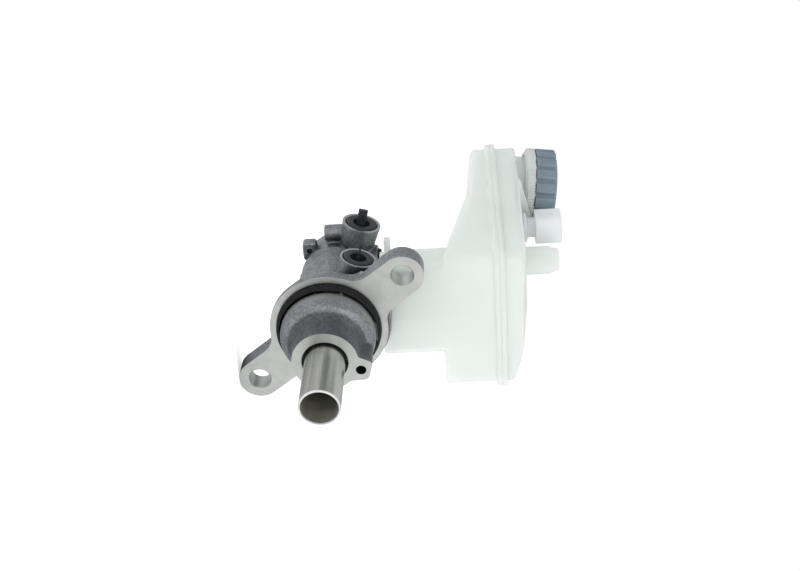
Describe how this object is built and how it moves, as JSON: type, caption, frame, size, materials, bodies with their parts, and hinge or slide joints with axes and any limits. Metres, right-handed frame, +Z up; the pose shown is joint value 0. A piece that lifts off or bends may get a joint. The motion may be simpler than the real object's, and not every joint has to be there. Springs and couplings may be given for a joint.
{
  "type": "tandem brake master cylinder",
  "caption": "Tandem hydraulic brake master cylinder with a two-ear flange, hollow piston stem, capped outlets and a translucent fluid reservoir with filler cap.",
  "frame": {"origin": "the pushrod seat inside the primary piston, which lies on the bore axis in the plane of the flange's booster face", "axes": "+Y forward along the bore, -Y is the pushrod side, +Z up towards the filler cap"},
  "size_m": [0.0868, 0.1797, 0.1554],
  "materials": {
    "cast_aluminium": "as-cast, with machined flange and nose faces",
    "anodised_aluminium": "smooth turned, clear anodised",
    "steel": "plated",
    "spring_steel": "oiled wire",
    "black_rubber": "matte",
    "black_plastic": "moulded",
    "milky_plastic": "translucent moulded polypropylene",
    "grey_plastic": "moulded",
    "float_foam": "closed-cell foam",
    "ferrite": "sintered",
    "brass": "stamped"
  },
  "bodies": {
    "housing": {"cylinder_body": "cast_aluminium", "flange_o_ring": "black_rubber", "guide_bush": "black_plastic", "retaining_clip": "spring_steel", "secondary_spring": "spring_steel", "vacuum_seal": "black_rubber", "primary_cup_seal": "black_rubber", "pressure_seal": "black_rubber", "secondary_cup_seal": "black_rubber", "rear_grommet": "black_rubber", "front_grommet": "black_rubber", "reservoir_pin": "steel", "reservoir_lower_shell": "milky_plastic", "reservoir_upper_shell": "milky_plastic", "level_switch": "milky_plastic", "switch_terminal_a": "brass", "switch_terminal_b": "brass", "filter_basket": "milky_plastic"},
    "primary": {"primary_piston": "anodised_aluminium", "captive_screw": "steel"},
    "secondary": {"secondary_piston": "anodised_aluminium", "spring_sleeve": "steel", "primary_spring": "spring_steel"},
    "cap": {"filler_cap": "grey_plastic"},
    "cap_lift": {"cap_seal": "black_rubber"},
    "float": {"level_float": "float_foam", "float_magnet": "ferrite"},
    "rear_plug": {"rear_outlet_plug": "black_plastic"},
    "front_plug": {"front_outlet_plug": "black_plastic"}
  },
  "joints": [
    {"name": "primary_stroke", "type": "slide", "parent": "housing", "child": "primary", "axis": [0, 1, 0], "range_m": [0, 0.028], "stiffness_N_per_m": 2500, "springref_m": -0.005, "deforming": ["primary_spring"]},
    {"name": "secondary_stroke", "type": "slide", "parent": "housing", "child": "secondary", "axis": [0, 1, 0], "range_m": [0, 0.014], "deforming": ["secondary_spring"]},
    {"name": "cap_raise", "type": "slide", "parent": "housing", "child": "cap_lift", "axis": [0.1392, 0, 0.9903], "range_m": [0, 0.009]},
    {"name": "cap_turn", "type": "hinge", "parent": "cap_lift", "child": "cap", "pos_m": [-0.0185, 0.095, 0.0905], "axis": [0.1392, 0, 0.9903], "range_deg": [0, 540]},
    {"name": "float_drop", "type": "slide", "parent": "housing", "child": "float", "axis": [0, 0, 1], "range_m": [-0.008, 0]},
    {"name": "rear_plug_pull", "type": "slide", "parent": "housing", "child": "rear_plug", "axis": [-0.9659, 0, 0.2588], "range_m": [0, 0.014]},
    {"name": "front_plug_pull", "type": "slide", "parent": "housing", "child": "front_plug", "axis": [-0.9659, 0, 0.2588], "range_m": [0, 0.014]}
  ],
  "couplings": [
    {"joint": "secondary_stroke", "follows": "primary_stroke", "ratio": 0.5},
    {"joint": "cap_raise", "follows": "cap_turn", "m_per_rad": 0.00095493}
  ]
}
